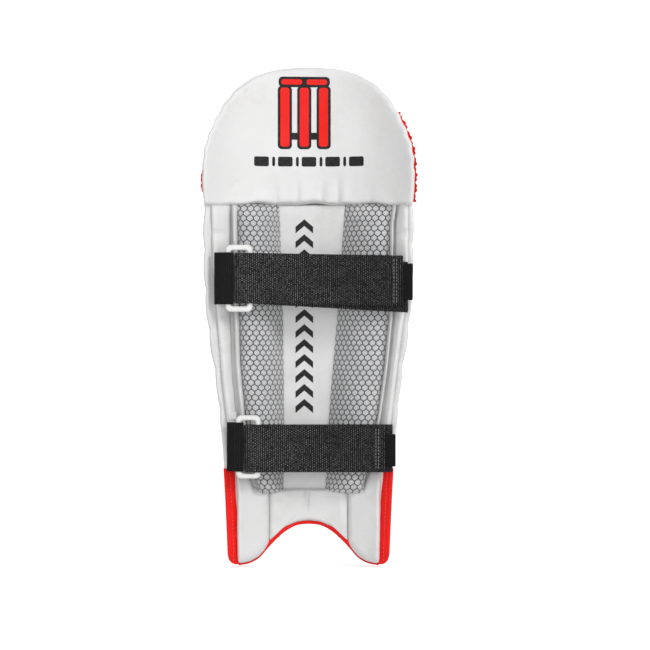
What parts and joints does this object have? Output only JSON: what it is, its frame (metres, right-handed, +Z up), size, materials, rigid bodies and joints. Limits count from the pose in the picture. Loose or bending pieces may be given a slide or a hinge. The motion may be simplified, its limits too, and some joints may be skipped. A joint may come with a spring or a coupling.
{
  "type": "cricket leg pad",
  "caption": "Curved leg guard for cricket wicket keeping: ribbed shin, padded knee cup, mesh bolsters, and webbing straps that pass through rings and close on themselves.",
  "frame": {"origin": "on the leg's side of the liner, at the middle of the pad and the height of its lowest point, where the leg meets it", "axes": "+Z up the shin, +X across the pad, +Y from the leg towards the ball"},
  "size_m": [0.2398, 0.1011, 0.56],
  "materials": {
    "white_leather_cloth": "smooth polyurethane leather cloth",
    "mesh_cloth": "open air mesh over light lining",
    "coloured_cloth": "bright red leather cloth",
    "webbing": "black woven webbing with loop pile",
    "hook_tape": "black hook tape",
    "ring_plastic": "moulded white plastic",
    "foam": "closed cell foam",
    "stiffener_sheet": "thin plastic sheet",
    "cane": "plain cane"
  },
  "bodies": {
    "shin": {"bolster_cover_left": "mesh_cloth", "bolster_cover_right": "mesh_cloth", "bolster_edging_left": "white_leather_cloth", "bolster_edging_right": "white_leather_cloth", "bolster_foam_left": "foam", "bolster_foam_right": "foam", "cane_1": "cane", "cane_2": "cane", "cane_3": "cane", "cane_4": "cane", "cane_5": "cane", "cane_6": "cane", "cane_7": "cane", "channel_panel": "white_leather_cloth", "instep_binding": "coloured_cloth", "instep_lobe_left": "white_leather_cloth", "instep_lobe_right": "white_leather_cloth", "instep_pad": "white_leather_cloth", "knee_hinge_cloth": "white_leather_cloth", "lower_anchor_tab": "webbing", "lower_loop_patch": "white_leather_cloth", "lower_ring_holder": "webbing", "lower_strap_layer": "webbing", "rib_1": "white_leather_cloth", "rib_2": "white_leather_cloth", "rib_3": "white_leather_cloth", "rib_4": "white_leather_cloth", "rib_5": "white_leather_cloth", "rib_6": "white_leather_cloth", "rib_7": "white_leather_cloth", "shin_face": "white_leather_cloth", "shin_foam": "foam", "shin_liner": "white_leather_cloth", "shin_stiffener": "stiffener_sheet", "side_binding_left": "coloured_cloth", "side_binding_right": "coloured_cloth", "side_edging_left": "white_leather_cloth", "side_edging_right": "white_leather_cloth", "upper_anchor_tab": "webbing", "upper_ring_holder": "webbing", "upper_strap_layer": "webbing", "wing_pad_left": "white_leather_cloth", "wing_pad_right": "white_leather_cloth"},
    "knee": {"knee_backing": "stiffener_sheet", "knee_cup": "white_leather_cloth", "knee_roll_1": "white_leather_cloth", "knee_roll_2": "white_leather_cloth", "knee_roll_3": "white_leather_cloth", "knee_side_panel_left": "coloured_cloth", "knee_side_panel_right": "coloured_cloth", "knee_top_flap": "white_leather_cloth"},
    "upper_ring_body": {"upper_ring": "ring_plastic", "upper_strap_fold": "webbing"},
    "upper_flap_body": {"upper_hook_tape": "hook_tape", "upper_strap_flap": "webbing"},
    "lower_ring_body": {"lower_ring": "ring_plastic", "lower_strap_fold": "webbing"},
    "lower_flap_body": {"lower_hook_tape": "hook_tape", "lower_strap_flap": "webbing"}
  },
  "joints": [
    {"name": "knee_flex", "type": "hinge", "parent": "shin", "child": "knee", "pos_m": [0, -0.02, 0.407], "axis": [1, 0, 0], "range_deg": [-8, 18], "stiffness_Nm_per_rad": 3, "deforming": ["knee_hinge_cloth"]},
    {"name": "upper_ring_swing", "type": "hinge", "parent": "shin", "child": "upper_ring_body", "pos_m": [-0.0895, -0.05985, 0.324], "axis": [0, 0, -1], "range_deg": [0, 30], "deforming": ["upper_strap_fold"]},
    {"name": "upper_strap_peel", "type": "hinge", "parent": "upper_ring_body", "child": "upper_flap_body", "pos_m": [-0.07485, -0.06008, 0.324], "axis": [0, 0, -1], "range_deg": [0, 130]},
    {"name": "lower_ring_swing", "type": "hinge", "parent": "shin", "child": "lower_ring_body", "pos_m": [-0.0783, -0.04685, 0.1355], "axis": [0, 0, -1], "range_deg": [0, 30], "deforming": ["lower_strap_fold"]},
    {"name": "lower_strap_peel", "type": "hinge", "parent": "lower_ring_body", "child": "lower_flap_body", "pos_m": [-0.06615, -0.04708, 0.1355], "axis": [0, 0, -1], "range_deg": [0, 115]}
  ]
}
